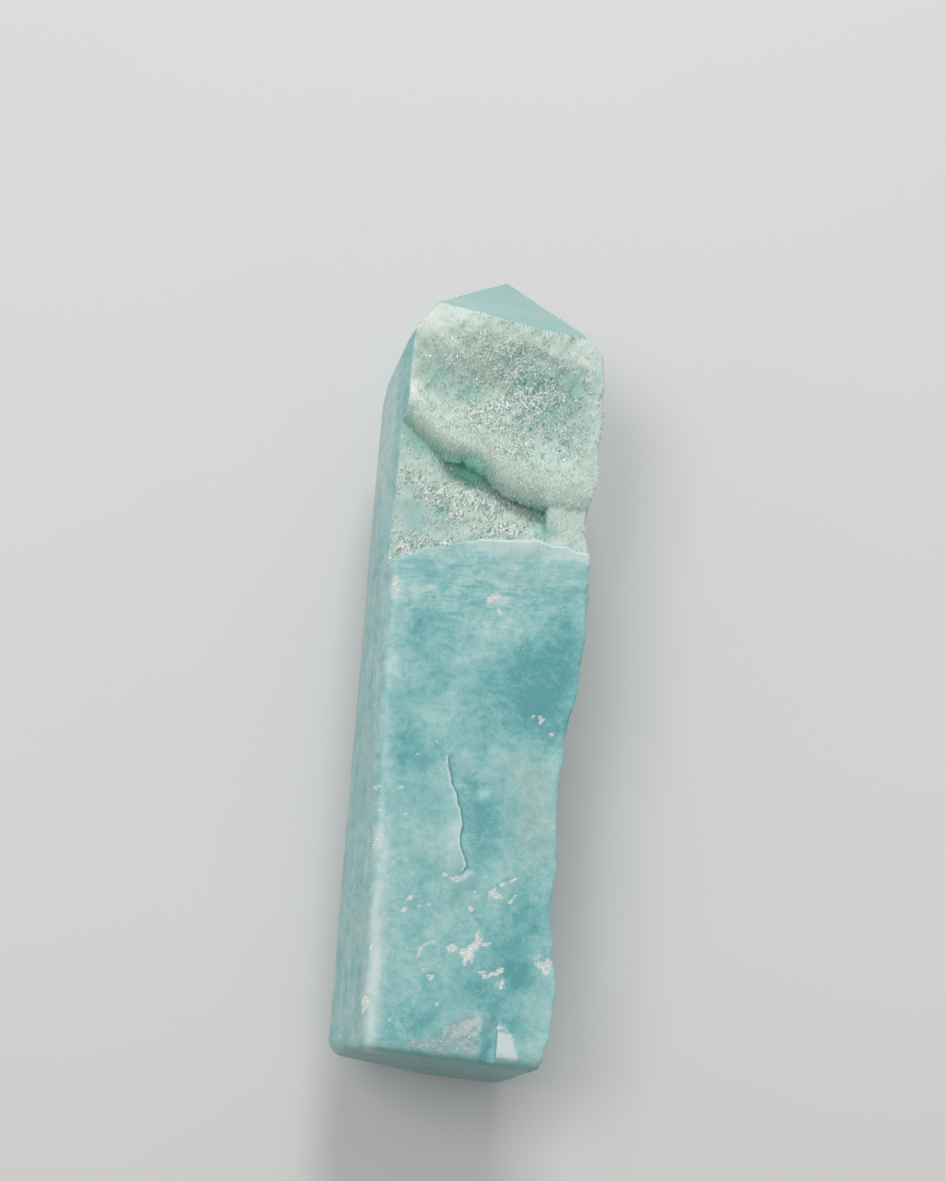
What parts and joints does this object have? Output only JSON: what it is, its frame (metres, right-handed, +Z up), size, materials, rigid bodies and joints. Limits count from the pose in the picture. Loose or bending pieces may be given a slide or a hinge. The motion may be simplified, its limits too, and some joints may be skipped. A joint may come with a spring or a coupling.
{
  "type": "aragonite point",
  "caption": "Ground and polished blue-green stone tower with a faceted tip and an unpolished patch of natural crystal crust near the tip.",
  "frame": {"origin": "on the surface the stone lies on, under the middle of its bounding box", "axes": "+Y along the stone towards its tip, +Z up out of the polished front, +X to the front's right"},
  "size_m": [0.0272, 0.1, 0.022],
  "materials": {
    "aragonite": "waxy hand polish over mottled teal, blue and white stone, with a matt sugary crust left on part of the front"
  },
  "bodies": {
    "root": {"aragonite_point": "aragonite"}
  },
  "joints": []
}
